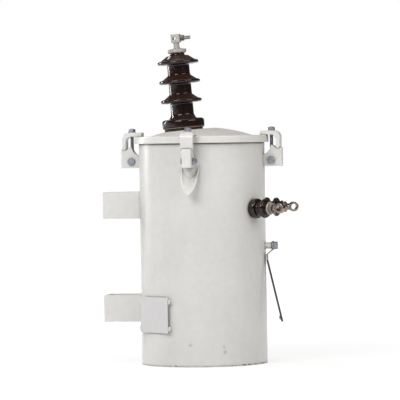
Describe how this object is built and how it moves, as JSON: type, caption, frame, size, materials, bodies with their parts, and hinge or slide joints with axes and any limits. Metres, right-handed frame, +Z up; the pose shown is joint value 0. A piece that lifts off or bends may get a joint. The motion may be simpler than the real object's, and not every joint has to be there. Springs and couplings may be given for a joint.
{
  "type": "pole mounted transformer",
  "caption": "Round oil-filled distribution transformer tank with a clamped domed cover, tall porcelain bushing on top, side bushings, pole hangers and ground strap.",
  "frame": {"origin": "centre of the tank's base, on the level it stands on", "axes": "+Z up along the tank, -Y out of the low-voltage side, +Y towards the pole"},
  "size_m": [0.4536, 0.5272, 0.9141],
  "materials": {
    "tank_paint": "satin",
    "porcelain": "gloss",
    "gasket_rubber": "matte",
    "zinc_steel": "satin",
    "terminal_metal": "satin",
    "nameplate_metal": "satin",
    "copper": "satin"
  },
  "bodies": {
    "root": {"clamp_bolt_back": "zinc_steel", "clamp_bolt_front": "zinc_steel", "clamp_bolt_left": "zinc_steel", "clamp_bolt_right": "zinc_steel", "clamp_bracket_back": "tank_paint", "clamp_bracket_front": "tank_paint", "clamp_bracket_left": "tank_paint", "clamp_bracket_right": "tank_paint", "clamp_hook_back": "tank_paint", "clamp_hook_front": "tank_paint", "clamp_hook_left": "tank_paint", "clamp_hook_right": "tank_paint", "clamp_pin_back": "zinc_steel", "clamp_pin_front": "zinc_steel", "clamp_pin_left": "zinc_steel", "clamp_pin_right": "zinc_steel", "cover": "tank_paint", "cover_gasket": "gasket_rubber", "ground_bolt": "zinc_steel", "ground_boss": "tank_paint", "ground_strap": "copper", "ground_strap_nut": "terminal_metal", "hanger_lower": "tank_paint", "hanger_upper": "tank_paint", "hv_cap": "terminal_metal", "hv_eyebolt": "terminal_metal", "hv_gasket": "gasket_rubber", "hv_porcelain": "porcelain", "hv_terminal_block": "terminal_metal", "hv_terminal_nut": "terminal_metal", "lifting_lug_left": "tank_paint", "lifting_lug_right": "tank_paint", "lv_connector_left": "terminal_metal", "lv_connector_right": "terminal_metal", "lv_gasket_left": "gasket_rubber", "lv_gasket_right": "gasket_rubber", "lv_porcelain_left": "porcelain", "lv_porcelain_right": "porcelain", "lv_stud_left": "terminal_metal", "lv_stud_right": "terminal_metal", "nameplate": "nameplate_metal", "nameplate_strips": "tank_paint", "tank_bottom": "tank_paint", "tank_shell": "tank_paint", "tank_top_ring": "tank_paint"}
  },
  "joints": []
}
